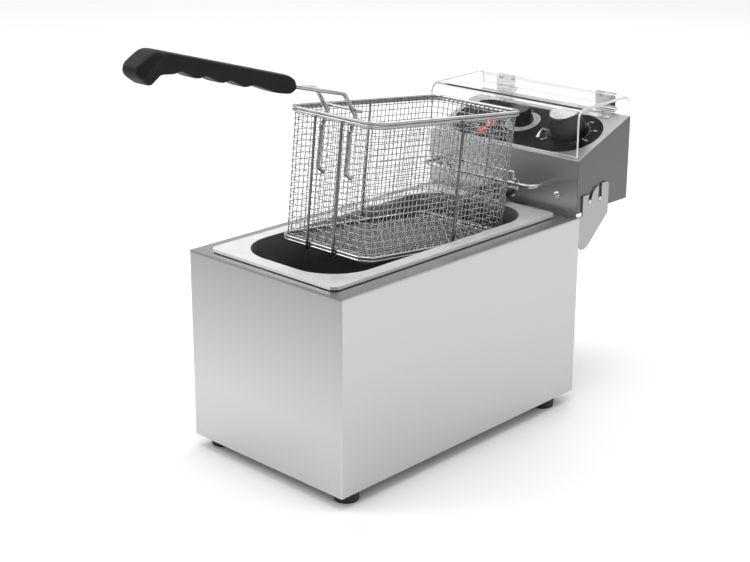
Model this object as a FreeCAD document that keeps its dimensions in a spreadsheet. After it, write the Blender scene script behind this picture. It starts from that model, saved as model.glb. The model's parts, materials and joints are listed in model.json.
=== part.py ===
import FreeCAD, Part
import math
import os
from FreeCAD import Placement, Rotation, Vector
from Sketcher import Constraint

# Countertop electric deep fryer: a sheet-steel housing with a lift-out oil tank, a control head that
# hooks on the rear and carries the heating element, a clear splash cover, and a wire basket hung on
# the head by its hook. Millimetres, +X right, +Y to the rear (the control head), +Z up. The origin is
# on the surface that the fryer stands on, under the middle of its overall length and width.

os.makedirs("parts", exist_ok=True)
doc = FreeCAD.newDocument("deep_fryer")

# ---------------------------------------------------------------- driving dimensions
DIMENSIONS = {
    # housing
    "housing_width": 200, "housing_length": 340, "housing_height": 187, "front_y": -144,
    "gauge": 1, "bend_radius": 1.6, "foot_height": 12, "foot_radius": 12.5,
    "foot_inset_x": 16, "foot_inset_front": 22, "foot_inset_rear": 30,
    "ring_inset_x": 29, "ring_inset_front": 20.5, "ring_inset_rear": 26, "upstand": 2.8,
    "rear_upstand": 3.1,
    "base_lip": 9,
    # oil tank
    "rim_width": 164, "rim_length": 315.5, "rim_start": 9.5, "rim_rise": 4, "rim_notch": 5,
    "rim_lip_gap": 0.9, "well_width": 137, "well_length": 288.5, "well_depth": 150,
    "well_corner": 46, "well_floor_round": 16,
    # control head, measured from the tilt pins where that is what matters
    "head_width": 196.4, "head_front": 193, "head_rear": 280, "head_bottom": 202.5,
    "head_front_top": 257.5, "head_rear_top": 290, "head_gap": 0.3,
    "pin_y": 229.8, "pin_height": 212, "pin_radius": 2.4, "support_pin_offset": 17.5,
    "plate_gauge": 1.5, "slot_clearance": 0.4,
    # controls on the sloped top: distances up the slope from its front edge
    "thermostat_x": 55, "thermostat_up": 43, "timer_x": -6, "timer_up": 46,
    "lamp_x": -37, "heating_lamp_up": 31, "power_lamp_up": 15,
    "label_half_run": 55, "label_radius": 36, "label_thick": 0.4,
    "knob_radius": 19.5, "knob_top_radius": 16, "knob_height": 23, "cap_radius": 14.5,
    "timer_knob_radius": 12, "timer_knob_height": 16, "timer_disc_radius": 19,
    "shaft_radius": 3, "lamp_radius": 6.8,
    # basket hanger on the head and the heating element
    "hanger_half": 72, "hanger_y": 153, "hanger_height": 233.5, "hanger_radius": 2,
    "element_radius": 3.5, "element_half": 40, "element_exit_half": 14,
    "element_height": 66, "element_exit": 210, "element_flange": 7.5,
    "element_leg_y": 153, "element_front": -55, "element_bend": 13.5,
    # splash cover
    "cover_width": 193, "cover_gauge": 3, "cover_front": 191, "cover_front_bottom": 261,
    "cover_front_top": 309.5, "cover_rear": 281, "cover_top": 312, "cover_rear_bottom": 296,
    "cover_round": 10, "hinge_y": 282.5, "hinge_height": 293, "hinge_radius": 2.4,
    "hinge_pin_radius": 1.1, "hinge_x": 66, "hinge_width": 25,
    # basket, in its own frame: origin at the middle of the front rim wire, Y along the rim
    "basket_y": -55.7, "basket_height": 329.7, "basket_pitch": 6,
    "basket_width": 115, "basket_length": 211, "basket_depth": 126, "basket_rear_draft": 6.5,
    "basket_corner": 14, "frame_wire": 1.5, "mesh_thick": 0.6, "hook_x": 43,
    # basket handle
    "handle_half": 18, "handle_wire": 2, "grip_y": -66, "grip_height": 31.3, "grip_tilt": 9.9,
    "grip_half_depth": 8.7, "grip_width": 22, "finger_pitch": 27, "grip_tip_radius": 7,
}

dims = doc.addObject("Spreadsheet::Sheet", "dims")
for row, (alias, number) in enumerate(DIMENSIONS.items(), start=1):
    dims.set(f"A{row}", alias)
    dims.set(f"B{row}", str(number))
    dims.setAlias(f"B{row}", alias)
doc.recompute()


def dim(alias):
    """A driving dimension's number, for shapes that are set from code."""
    return float(dims.get(alias))


def value(expression):
    """The number that an expression on the sheet gives."""
    result = dims.evalExpression(expression)
    return float(getattr(result, "Value", result))


# ---------------------------------------------------------------- general helpers
NODES = []


def keep(feature, label):
    """Marks a finished feature as the sub-part that is written under this label."""
    feature.Label = label
    NODES.append(feature)
    return feature


def bind(feature, **expressions):
    for name, expression in expressions.items():
        feature.setExpression(name.replace("__", "."), expression)


def place(feature, x, y, z):
    """Binds a feature's position to three expressions."""
    for axis, expression in zip("xyz", (x, y, z)):
        feature.setExpression(f"Placement.Base.{axis}", expression)


def box(name, size, corner):
    solid = doc.addObject("Part::Box", name)
    bind(solid, Length=size[0], Width=size[1], Height=size[2])
    place(solid, *corner)
    return solid


def rounded_box(name, size, corner, radius):
    """A box with its four upright edges rounded."""
    block = box(name, size, corner)
    doc.recompute()
    upright = [index for index, edge in enumerate(block.Shape.Edges, start=1)
               if edge.BoundBox.XLength < 1e-6 and edge.BoundBox.YLength < 1e-6]
    rounded = doc.addObject("Part::Fillet", name + "_rounded")
    rounded.Base = block
    rounded.Edges = [(index, radius, radius) for index in upright]
    return rounded


def basin(name, size, corner, radius, floor_radius):
    """A rounded box whose floor edge is rounded too: the form of a drawn well."""
    block = rounded_box(name, size, corner, radius)
    doc.recompute()
    floor = block.Shape.BoundBox.ZMin
    around = [index for index, edge in enumerate(block.Shape.Edges, start=1)
              if edge.BoundBox.ZMax < floor + 1e-3]
    drawn = doc.addObject("Part::Fillet", name + "_drawn")
    drawn.Base = block
    drawn.Edges = [(index, floor_radius, floor_radius) for index in around]
    return drawn


def cylinder(name, radius, height, base, direction=Vector(0, 0, 1)):
    solid = doc.addObject("Part::Cylinder", name)
    solid.Placement.Rotation = Rotation(Vector(0, 0, 1), direction)
    bind(solid, Radius=radius, Height=height)
    place(solid, *base)
    return solid


def cone(name, low_radius, high_radius, height, base, direction=Vector(0, 0, 1)):
    solid = doc.addObject("Part::Cone", name)
    solid.Placement.Rotation = Rotation(Vector(0, 0, 1), direction)
    bind(solid, Radius1=low_radius, Radius2=high_radius, Height=height)
    place(solid, *base)
    return solid


def fuse(name, pieces):
    joined = doc.addObject("Part::MultiFuse", name)
    joined.Shapes = pieces
    joined.Refine = True
    return joined


def cut(name, base, tool):
    result = doc.addObject("Part::Cut", name)
    result.Base, result.Tool = base, tool
    return result


def group(name, pieces):
    """Several identical solids as one sub-part."""
    together = doc.addObject("Part::Compound", name)
    together.Links = pieces
    return together


def feature(label, shape, placement=None):
    """A sub-part whose shape is set from code, with sizes read from the sheet."""
    solid = doc.addObject("Part::Feature", label)
    solid.Shape = shape
    if placement:
        solid.Placement = placement
    return keep(solid, label)


def origin_plane(body, role):
    return next(item for item in body.Origin.OriginFeatures if item.Role == role)


def outline(body, name, role, points, offset="0"):
    """A closed polygon sketch; each corner is a pair of expressions in the sketch's axes."""
    sketch = body.newObject("Sketcher::SketchObject", name)
    sketch.AttachmentSupport = [(origin_plane(body, role), "")]
    sketch.MapMode = "FlatFace"
    sketch.setExpression("AttachmentOffset.Base.z", offset)
    corners = [(value(x), value(y)) for x, y in points]
    count = len(corners)
    for index, start in enumerate(corners):
        end = corners[(index + 1) % count]
        sketch.addGeometry(Part.LineSegment(Vector(*start, 0), Vector(*end, 0)))
    for index in range(count):
        sketch.addConstraint(Constraint("Coincident", index, 2, (index + 1) % count, 1))
    for index, (x, y) in enumerate(points):
        for kind, expression, number in (("DistanceX", x, corners[index][0]),
                                         ("DistanceY", y, corners[index][1])):
            place_in_list = sketch.addConstraint(Constraint(kind, -1, 1, index, 1, number))
            sketch.setExpression(f"Constraints[{place_in_list}]", expression)
    return sketch


def rectangle(x_low, x_high, y_low, y_high):
    return [(x_low, y_low), (x_high, y_low), (x_high, y_high), (x_low, y_high)]


def pad(body, sketch, length, midplane=False, reverse=False):
    extrusion = body.newObject("PartDesign::Pad", sketch.Name + "_pad")
    extrusion.Profile = sketch
    extrusion.setExpression("Length", length)
    extrusion.Midplane = midplane
    extrusion.Reversed = reverse
    doc.recompute()
    return extrusion


def pocket(body, sketch, length, midplane=False, reverse=False):
    before = body.Shape.Volume
    cutout = body.newObject("PartDesign::Pocket", sketch.Name + "_pocket")
    cutout.Profile = sketch
    cutout.setExpression("Length", length)
    cutout.Midplane = midplane
    cutout.Reversed = reverse
    doc.recompute()
    if body.Shape.Volume > before - 1e-6:
        raise RuntimeError(f"{cutout.Name} removes nothing")
    return cutout


def round_edges(body, radius, chosen):
    """Fillets the edges of the body's tip whose centre and direction satisfy chosen()."""
    base = body.Tip
    names = []
    for index, edge in enumerate(base.Shape.Edges, start=1):
        span = edge.BoundBox
        if chosen(edge, span):
            names.append(f"Edge{index}")
    fillet = body.newObject("PartDesign::Fillet", base.Name + "_round")
    fillet.Base = (base, names)
    fillet.setExpression("Radius", radius)
    doc.recompute()
    return fillet


def new_body(label):
    body = doc.addObject("PartDesign::Body", label)
    return keep(body, label)


def slot_row(body, name, role, count, pitch, x_start, size, low, offset, depth, reverse=False):
    """A row of rectangular vents cut through a sheet."""
    start = value(x_start)
    for index in range(count):
        left = start + index * pitch
        sketch = outline(body, f"{name}_{index}", role,
                         rectangle(f"{left}", f"{left + size[0]}", f"{low}", f"{low + size[1]}"), offset)
        pocket(body, sketch, depth, reverse=reverse)


def bent_path(points, bend, closed=False):
    """Straight runs joined by tangent arcs of one bend radius, or of one radius per corner."""
    points = [Vector(*point) for point in points]
    count = len(points)
    bends = bend if isinstance(bend, (list, tuple)) else [bend] * count
    corners = range(count) if closed else range(1, count - 1)
    trims = {}
    for index in corners:
        here, before, after = points[index], points[index - 1], points[(index + 1) % count]
        back, ahead = (before - here).normalize(), (after - here).normalize()
        half = back.getAngle(ahead) / 2
        reach = bends[index] / math.tan(half)
        start, end = here + back * reach, here + ahead * reach
        inward = (back + ahead).normalize()
        middle = here + inward * (bends[index] / math.sin(half) - bends[index])
        trims[index] = (start, middle, end)
    edges = []
    for index in range(count if closed else count - 1):
        following = (index + 1) % count
        run_start = trims[index][2] if index in trims else points[index]
        run_end = trims[following][0] if following in trims else points[following]
        if (run_end - run_start).Length > 1e-6:
            edges.append(Part.LineSegment(run_start, run_end).toShape())
        if following in trims:
            edges.append(Part.Arc(*trims[following]).toShape())
    return Part.Wire(edges)


def rod(path, radius):
    """A round wire swept along a path; a closed path gives a closed ring."""
    first = path.OrderedEdges[0]
    start = first.valueAt(first.FirstParameter)
    tangent = first.tangentAt(first.FirstParameter)
    ring = Part.Wire(Part.makeCircle(radius, start, tangent))
    if not path.isClosed():
        return path.makePipeShell([ring], True, False)
    halves = path.OrderedEdges
    middle = len(halves) // 2
    pieces = []
    for part_edges in (halves[:middle], halves[middle:]):
        section = Part.Wire(part_edges)
        edge = section.OrderedEdges[0]
        circle = Part.Wire(Part.makeCircle(radius, edge.valueAt(edge.FirstParameter),
                                           edge.tangentAt(edge.FirstParameter)))
        pieces.append(section.makePipeShell([circle], True, False))
    return pieces[0].fuse(pieces[1]).removeSplitter()


def straight_rod(start, end, radius):
    start, end = Vector(*start), Vector(*end)
    return Part.makeCylinder(radius, (end - start).Length, start, end - start)


# ---------------------------------------------------------------- housing and base
HALF_WIDTH = "dims.housing_width / 2"
HOUSING_REAR = "(dims.front_y + dims.housing_length)"
HOUSING_TOP = "(dims.foot_height + dims.housing_height)"


def build_housing():
    shell = new_body("housing_shell")
    pad(shell, outline(shell, "shell_outside", "XY_Plane",
                       rectangle(f"-{HALF_WIDTH}", HALF_WIDTH, "dims.front_y", HOUSING_REAR),
                       "dims.foot_height"), "dims.housing_height")
    round_edges(shell, "dims.bend_radius",
                lambda edge, span: span.ZLength > 100 and span.YMax < dim("front_y") + 1)
    pocket(shell, outline(shell, "shell_inside", "XY_Plane",
                          rectangle(f"-{HALF_WIDTH} + dims.gauge", f"{HALF_WIDTH} - dims.gauge",
                                    "dims.front_y + dims.gauge", f"{HOUSING_REAR} + 5"),
                          "dims.foot_height - 1"), "dims.housing_height - dims.gauge + 1", reverse=True)
    margin = "dims.ring_inset_x"
    size = ("dims.housing_width - 2 * dims.ring_inset_x",
            "dims.housing_length - dims.ring_inset_front - dims.ring_inset_rear", "dims.upstand + dims.gauge")
    corner = (f"-{HALF_WIDTH} + {margin}", "dims.front_y + dims.ring_inset_front",
              f"{HOUSING_TOP} - dims.gauge")
    wider = (f"{size[0]} + 2 * dims.gauge", f"{size[1]} + 2 * dims.gauge", size[2])
    further = (f"{corner[0]} - dims.gauge", f"{corner[1]} - dims.gauge", corner[2])
    collar = rounded_box("collar_blank", wider, further, dim("well_corner"))
    deeper = (size[0], size[1], f"{size[2]} + 4")
    opening = rounded_box("ring_opening", deeper, (corner[0], corner[1], f"{corner[2]} - 2"),
                          dim("well_corner") - dim("gauge"))
    NODES.remove(shell)
    shell.Label = "housing_wrap"
    rear_edge = box("rear_edge_upstand", (f"{size[0]} + 50", "dims.gauge", "dims.rear_upstand + dims.gauge"),
                    (f"-({size[0]} + 50) / 2", f"{HOUSING_REAR} - dims.gauge", corner[2]))
    whole = fuse("housing_with_collar", [shell, collar, rear_edge])
    keep(cut("housing_opened", whole, opening), "housing_shell")

    rear = new_body("housing_rear_panel")
    pad(rear, outline(rear, "rear_sheet", "XZ_Plane",
                      rectangle(f"-{HALF_WIDTH} + dims.gauge + 0.1", f"{HALF_WIDTH} - dims.gauge - 0.1",
                                "dims.foot_height", f"{HOUSING_TOP} - dims.gauge - 0.1"),
                      f"-{HOUSING_REAR}"), "dims.gauge")
    slot_row(rear, "rear_vent", "XZ_Plane", 8, 14, "-51.5", (5, 34), 50, f"-{HOUSING_REAR} - 1",
             "dims.gauge + 2", reverse=True)

    base = new_body("housing_base_plate")
    inner = rectangle(f"-{HALF_WIDTH} + dims.gauge + 0.1", f"{HALF_WIDTH} - dims.gauge - 0.1",
                      "dims.front_y + dims.gauge + 0.1", f"{HOUSING_REAR} - dims.gauge - 0.1")
    tray = rectangle(f"-{HALF_WIDTH} + 2 * dims.gauge + 0.1", f"{HALF_WIDTH} - 2 * dims.gauge - 0.1",
                     "dims.front_y + 2 * dims.gauge + 0.1", f"{HOUSING_REAR} - 2 * dims.gauge - 0.1")
    pad(base, outline(base, "base_outside", "XY_Plane", inner, "dims.foot_height"), "dims.base_lip")
    pocket(base, outline(base, "base_tray", "XY_Plane", tray, "dims.foot_height + dims.gauge"),
           "dims.base_lip", reverse=True)
    slot_row(base, "base_vent", "XY_Plane", 9, 16, "-66.5", (5, 90), -20, "dims.foot_height - 1",
             "dims.gauge + 2", reverse=True)


def foot_places():
    rear = f"{HOUSING_REAR} - dims.foot_inset_rear"
    front = "dims.front_y + dims.foot_inset_front"
    side = f"({HALF_WIDTH} - dims.foot_inset_x)"
    return {"front_left": (f"-{side}", front), "front_right": (side, front),
            "rear_left": (f"-{side}", rear), "rear_right": (side, rear)}


def build_feet():
    screws = []
    for corner, (x, y) in foot_places().items():
        pad_shape = cone(f"{corner}_block", "dims.foot_radius - 1", "dims.foot_radius",
                         "dims.foot_height", (x, y, "0"))
        recess = cylinder(f"{corner}_recess", "4.6", "6", (x, y, "0"))
        drilling = cylinder(f"{corner}_drilling", "2.1", "dims.foot_height", (x, y, "0"))
        keep(cut(f"{corner}_foot_cut", pad_shape, fuse(f"{corner}_bore", [recess, drilling])),
             f"foot_{corner}")
        shank = cylinder(f"{corner}_shank", "2", "14", (x, y, "5"))
        head = cylinder(f"{corner}_screw_head", "3.8", "2.6", (x, y, "3.4"))
        screws.append(fuse(f"{corner}_screw", [shank, head]))
    holes = [cylinder(f"base_hole_{index}", "2.1", "6", (x, y, "dims.foot_height - 2"))
             for index, (x, y) in enumerate(foot_places().values())]
    drill_base(holes)
    keep(group("foot_screw_set", screws), "foot_screws")


def drill_base(holes):
    """Cuts the foot screw holes through the base plate."""
    plate = doc.getObject("housing_base_plate")
    NODES.remove(plate)
    plate.Label = "base_plate_blank"
    keep(cut("base_plate_drilled", plate, fuse("base_holes", holes)), "housing_base_plate")


# ---------------------------------------------------------------- oil tank
WELL_SETBACK = 13.5     # from the rim's outer edge to the well's wall


def build_tank():
    tank = new_body("oil_tank")
    rim_top = f"({HOUSING_TOP} + dims.rim_rise)"
    half, front = "dims.rim_width / 2", "(dims.front_y + dims.rim_start)"
    rear, nick = "(dims.front_y + dims.rim_start + dims.rim_length)", "dims.rim_notch"
    rim = [(f"-{half} + {nick}", front), (f"{half} - {nick}", front), (half, f"{front} + {nick}"),
           (half, f"{rear} - {nick}"), (f"{half} - {nick}", rear), (f"-{half} + {nick}", rear),
           (f"-{half}", f"{rear} - {nick}"), (f"-{half}", f"{front} + {nick}")]
    shrink = "dims.gauge"
    under = [(f"-{half} + {nick}", f"{front} + {shrink}"), (f"{half} - {nick}", f"{front} + {shrink}"),
             (f"{half} - {shrink}", f"{front} + {nick}"), (f"{half} - {shrink}", f"{rear} - {nick}"),
             (f"{half} - {nick}", f"{rear} - {shrink}"), (f"-{half} + {nick}", f"{rear} - {shrink}"),
             (f"-{half} + {shrink}", f"{rear} - {nick}"), (f"-{half} + {shrink}", f"{front} + {nick}")]
    lip = "(dims.rim_rise - dims.rim_lip_gap)"
    pad(tank, outline(tank, "rim_outside", "XY_Plane", rim, f"{rim_top} - {lip}"), lip)
    pocket(tank, outline(tank, "rim_underside", "XY_Plane", under, f"{rim_top} - {lip} - 1"),
           f"{lip} - dims.gauge + 1", reverse=True)
    inner_size = ("dims.well_width", "dims.well_length", "dims.well_depth + 2")
    inner_corner = ("-dims.well_width / 2", f"{front} + {WELL_SETBACK}", f"{rim_top} - dims.well_depth")
    outer_size = ("dims.well_width + 2 * dims.gauge", "dims.well_length + 2 * dims.gauge",
                  "dims.well_depth + dims.gauge / 2")
    outer_corner = (f"{inner_corner[0]} - dims.gauge", f"{inner_corner[1]} - dims.gauge",
                    f"{inner_corner[2]} - dims.gauge")
    outside = basin("well_outside", outer_size, outer_corner, dim("well_corner") + dim("gauge"),
                    dim("well_floor_round") + dim("gauge"))
    inside = basin("well_inside", inner_size, inner_corner, dim("well_corner"), dim("well_floor_round"))
    NODES.remove(tank)
    tank.Label = "rim_blank"
    keep(cut("tank_hollowed", fuse("tank_filled", [tank, outside]), inside), "oil_tank")


# ---------------------------------------------------------------- hook plates at the rear
def build_hook_plates():
    """Each plate rises from the housing's rear, with a slot for the tilt pin and a rest notch."""
    pin, gauge = dim("pin_radius"), dim("plate_gauge")
    clear, reach = dim("slot_clearance"), dim("support_pin_offset")
    slot = pin + clear
    inner, outer = reach - slot, reach + slot
    back = value(HOUSING_REAR) + gauge - dim("pin_y")
    tab_left, tab_top, finger_top, rear_edge = -28.8, 8.0, 16.0, 14.9

    def at(y, z):
        return Vector(0, y, z)

    def circle_point(radius, height, side=-1):
        return at(side * math.sqrt(radius ** 2 - height ** 2), height)

    tongue_height = math.sqrt(inner ** 2 - slot ** 2)
    tongue_top = at(-slot, tongue_height)
    notch_in, notch_out = at(-inner, 0), at(-outer, 0)
    tab_right = circle_point(outer, tab_top)
    corners = [at(back, -45), at(back, -13), at(tab_left, -13), at(tab_left, tab_top), tab_right]
    edges = [Part.LineSegment(a, b).toShape() for a, b in zip(corners, corners[1:])]
    edges += [Part.Arc(tab_right, circle_point(outer, tab_top / 2), notch_out).toShape(),
              Part.Arc(notch_out, at(-reach, -slot), notch_in).toShape(),
              Part.Arc(notch_in, circle_point(inner, tongue_height / 2), tongue_top).toShape(),
              Part.LineSegment(tongue_top, at(-slot, 0)).toShape(),
              Part.Arc(at(-slot, 0), at(0, -slot), at(slot, 0)).toShape()]
    outer_run = [at(slot, 0), at(slot, finger_top), at(rear_edge - 3, finger_top),
                 at(rear_edge, finger_top - 3), at(rear_edge, -17.5), at(-18, -46.5), at(-23, -48.5),
                 at(back + 3, -48.5), at(back, -45)]
    edges += [Part.LineSegment(a, b).toShape() for a, b in zip(outer_run, outer_run[1:])]
    face = Part.Face(Part.Wire(edges))
    half = dim("housing_width") / 2
    flange_low, flange_high = -43, -14
    for side, name in ((-1, "left"), (1, "right")):
        web = face.extrude(Vector(gauge, 0, 0))
        web.translate(Vector(half - gauge if side > 0 else -half, dim("pin_y"), dim("pin_height")))
        flange = Part.makeBox(20, gauge, flange_high - flange_low)
        flange.translate(Vector(half - 20 if side > 0 else -half, value(HOUSING_REAR),
                                dim("pin_height") + flange_low))
        for drop in (-21, -36):
            hole = Part.makeCylinder(2.1, 6, Vector(side * (half - 12), value(HOUSING_REAR) - 2,
                                                    dim("pin_height") + drop), Vector(0, 1, 0))
            flange = flange.cut(hole)
        feature(f"{name}_hook_plate", web.fuse(flange).removeSplitter())
    screws = []
    for side in (-1, 1):
        for drop in (-21, -36):
            x, z = side * (half - 12), dim("pin_height") + drop
            y = value(HOUSING_REAR)
            head = Part.makeCylinder(3.8, 2.2, Vector(x, y + gauge, z), Vector(0, 1, 0))
            shank = Part.makeCylinder(2, 8, Vector(x, y + gauge - 8, z), Vector(0, 1, 0))
            screws.append(head.fuse(shank))
    feature("hook_plate_screws", Part.makeCompound(screws))
    drill_rear_panel()


def drill_rear_panel():
    """Cuts the hook plate screw holes through the rear panel."""
    panel = doc.getObject("housing_rear_panel")
    NODES.remove(panel)
    panel.Label = "rear_panel_blank"
    holes = []
    for side in (-1, 1):
        for drop in (21, 36):
            holes.append(cylinder(f"panel_hole_{side + 1}_{drop}", "2.1", "6",
                                  (f"{side} * ({HALF_WIDTH} - 12)", f"{HOUSING_REAR} - 3",
                                   f"dims.pin_height - {drop}"), Vector(0, 1, 0)))
    keep(cut("rear_panel_drilled", panel, fuse("panel_holes", holes)), "housing_rear_panel")


# ---------------------------------------------------------------- control head
SLOPE = math.atan2(dim("head_rear_top") - dim("head_front_top"), dim("head_rear") - dim("head_front"))
SLOPE_NORMAL = Vector(0, -math.sin(SLOPE), math.cos(SLOPE))
SLOPE_UP = Vector(0, math.cos(SLOPE), math.sin(SLOPE))
SLOPE_TURN = Rotation(Vector(1, 0, 0), math.degrees(SLOPE))


def on_slope(x, up, above=0.0):
    """A point on the sloped top: across, up the slope from the front edge, and above it."""
    edge = Vector(0, dim("head_front"), dim("head_front_top"))
    return edge + Vector(x, 0, 0) + SLOPE_UP * up + SLOPE_NORMAL * above


def slope_cylinder(radius, height, x, up, above):
    return Part.makeCylinder(radius, height, on_slope(x, up, above), SLOPE_NORMAL)


def build_head_shell():
    blank = doc.addObject("PartDesign::Body", "head_blank")
    front, rear, bottom = "dims.head_front", "dims.head_rear", "dims.head_bottom"
    side = [(front, bottom), (rear, bottom), (rear, "dims.head_rear_top"), (front, "dims.head_front_top")]
    pad(blank, outline(blank, "head_side", "YZ_Plane", side), "dims.head_width", midplane=True)
    round_edges(blank, "dims.bend_radius / 2",
                lambda edge, span: span.ZMin > dim("head_bottom") + 1)
    inside = [(f"{front} + dims.gauge", f"{bottom} - 1"), (f"{rear} - dims.gauge", f"{bottom} - 1"),
              (f"{rear} - dims.gauge", "dims.head_rear_top - dims.gauge * 1.45"),
              (f"{front} + dims.gauge", "dims.head_front_top - dims.gauge * 0.7")]
    pocket(blank, outline(blank, "head_cavity", "YZ_Plane", inside), "dims.head_width - 2 * dims.gauge",
           midplane=True)
    openings = []
    for x, up, radius in control_holes():
        openings.append(slope_cylinder(radius, 6, x, up, -4))
    for x in (-dim("element_exit_half"), dim("element_exit_half")):
        openings.append(Part.makeCylinder(dim("element_radius") + 0.3, 8,
                                          Vector(x, dim("head_front") - 4, dim("element_exit")),
                                          Vector(0, 1, 0)))
    for x in (-dim("hanger_half"), dim("hanger_half")):
        openings.append(Part.makeCylinder(dim("hanger_radius") + 0.1, 8,
                                          Vector(x, dim("head_front") - 4, dim("hanger_height")),
                                          Vector(0, 1, 0)))
        openings.append(Part.makeCylinder(2.1, 8, Vector(x, dim("head_front") - 4, FACE_SCREW_HEIGHT),
                                          Vector(0, 1, 0)))
    for x in PROBE_XS:
        openings.append(Part.makeCylinder(1.2, 8, Vector(x, dim("head_front") - 4, PROBE_EXIT),
                                          Vector(0, 1, 0)))
    openings.append(Part.makeCylinder(GLAND_HOLE, 8, Vector(GLAND_X, dim("head_rear") - 4, REAR_ROW),
                                      Vector(0, 1, 0)))
    openings.append(Part.makeCylinder(RESET_HOLE, 8, Vector(RESET_X, dim("head_rear") - 4, REAR_ROW),
                                      Vector(0, 1, 0)))
    for side_x in (-1, 1):
        for y, z in pin_centres():
            openings.append(Part.makeCylinder(dim("pin_radius"), 6, Vector(
                side_x * dim("head_width") / 2 - 3, y, z), Vector(1, 0, 0)))
    for column in range(VENT_COUNT):
        x = (column - (VENT_COUNT - 1) / 2) * VENT_PITCH
        openings.append(Part.makeBox(VENT_WIDTH, 8, VENT_HEIGHT,
                                     Vector(x - VENT_WIDTH / 2, dim("head_rear") - 4, VENT_BOTTOM)))
    tool = doc.addObject("Part::Feature", "head_openings")
    tool.Shape = Part.makeCompound(openings)
    keep(cut("head_shell_cut", blank, tool), "head_shell")

    plate = new_body("head_bottom_plate")
    pad(plate, outline(plate, "bottom_sheet", "XY_Plane",
                       rectangle("-dims.head_width / 2 + dims.gauge + 0.1",
                                 "dims.head_width / 2 - dims.gauge - 0.1",
                                 f"{front} + dims.gauge + 0.1", f"{rear} - dims.gauge - 0.1"), bottom),
        "dims.gauge")


PROBE_XS = (-3.5, 3.5)
PROBE_EXIT = 212.0
FACE_SCREW_HEIGHT = 218.0
VENT_COUNT, VENT_PITCH, VENT_WIDTH, VENT_HEIGHT, VENT_BOTTOM = 9, 9.0, 4.0, 18.0, 240.0
REAR_ROW = 222.0
GLAND_X, GLAND_HOLE = -62.0, 7.0
RESET_X, RESET_HOLE = 62.0, 4.2


def pin_centres():
    """The tilt pin and the front support pin, as (y, z)."""
    return ((dim("pin_y"), dim("pin_height")),
            (dim("pin_y") - dim("support_pin_offset"), dim("pin_height")))


def control_holes():
    lamp = dim("lamp_radius") - 0.9
    return ((dim("thermostat_x"), dim("thermostat_up"), dim("shaft_radius") + 1),
            (dim("timer_x"), dim("timer_up"), dim("shaft_radius") + 1),
            (dim("lamp_x"), dim("heating_lamp_up"), lamp), (dim("lamp_x"), dim("power_lamp_up"), lamp))


def build_pins():
    half = dim("head_width") / 2
    for name, (y, z) in zip(("tilt_pins", "support_pins"), pin_centres()):
        pins = []
        for side in (-1, 1):
            inner_end = side * half - (4 if side > 0 else 2)
            shank = Part.makeCylinder(dim("pin_radius"), 6, Vector(inner_end, y, z),
                                      Vector(1, 0, 0))
            collar = Part.makeCylinder(dim("pin_radius") + 1.6, 2,
                                       Vector(side * (half - 2) - 1, y, z), Vector(1, 0, 0))
            pins.append(shank.fuse(collar))
        feature(name, Part.makeCompound(pins))


def build_controls():
    run, radius, thick = dim("label_half_run"), dim("label_radius"), dim("label_thick")
    middle = dim("thermostat_up")
    face = Part.makeBox(2 * run, 2 * radius, thick, Vector(-run, -radius, 0))
    for x in (-run, run):
        face = face.fuse(Part.makeCylinder(radius, thick, Vector(x, 0, 0)))
    face = face.removeSplitter()
    label = face.copy()
    label.Placement = Placement(on_slope(0, middle, 0.02), SLOPE_TURN)
    for x, up, hole in control_holes():
        label = label.cut(slope_cylinder(hole, 4, x, up, -2))
    feature("control_label", label)

    build_knob("thermostat", dim("thermostat_x"), dim("thermostat_up"), dim("knob_radius"),
               dim("knob_top_radius"), dim("knob_height"), 24)
    cap_x, cap_up, cap_above = dim("thermostat_x"), dim("thermostat_up"), dim("knob_height") + 1.2
    feature("thermostat_knob_cap", slope_cylinder(dim("cap_radius"), 1.2, cap_x, cap_up, cap_above))
    build_knob("timer", dim("timer_x"), dim("timer_up"), dim("timer_knob_radius"),
               dim("timer_knob_radius") - 1.5, dim("timer_knob_height"), 20)
    disc = slope_cylinder(dim("timer_disc_radius"), 0.5, dim("timer_x"), dim("timer_up"), thick + 0.1)
    feature("timer_dial_plate", disc.cut(slope_cylinder(4.2, 3, dim("timer_x"), dim("timer_up"), -1)))

    for name, size, x, up in (("thermostat_body", (40, 34, 26), dim("thermostat_x"), dim("thermostat_up")),
                              ("timer_body", (34, 34, 30), dim("timer_x"), dim("timer_up"))):
        case = Part.makeBox(*size, Vector(-size[0] / 2, -size[1] / 2, -size[2]))
        case = case.fuse(Part.makeCylinder(dim("shaft_radius"), 14.0))
        case.Placement = Placement(on_slope(x, up, -1.6), SLOPE_TURN)
        feature(name, case)

    for name, up in (("heating_lamp", dim("heating_lamp_up")), ("power_lamp", dim("power_lamp_up"))):
        stem = slope_cylinder(dim("lamp_radius") - 1, 18, dim("lamp_x"), up, -17)
        lens = Part.makeCone(dim("lamp_radius") - 0.6, dim("lamp_radius") - 2, 3.4,
                             on_slope(dim("lamp_x"), up, 1), SLOPE_NORMAL)
        feature(name, stem.fuse(lens))
        ring = slope_cylinder(dim("lamp_radius") + 1, 1.4, dim("lamp_x"), up, thick + 0.1)
        feature(f"{name}_bezel", ring.cut(slope_cylinder(dim("lamp_radius") - 0.5, 4, dim("lamp_x"), up, -1)))


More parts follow.
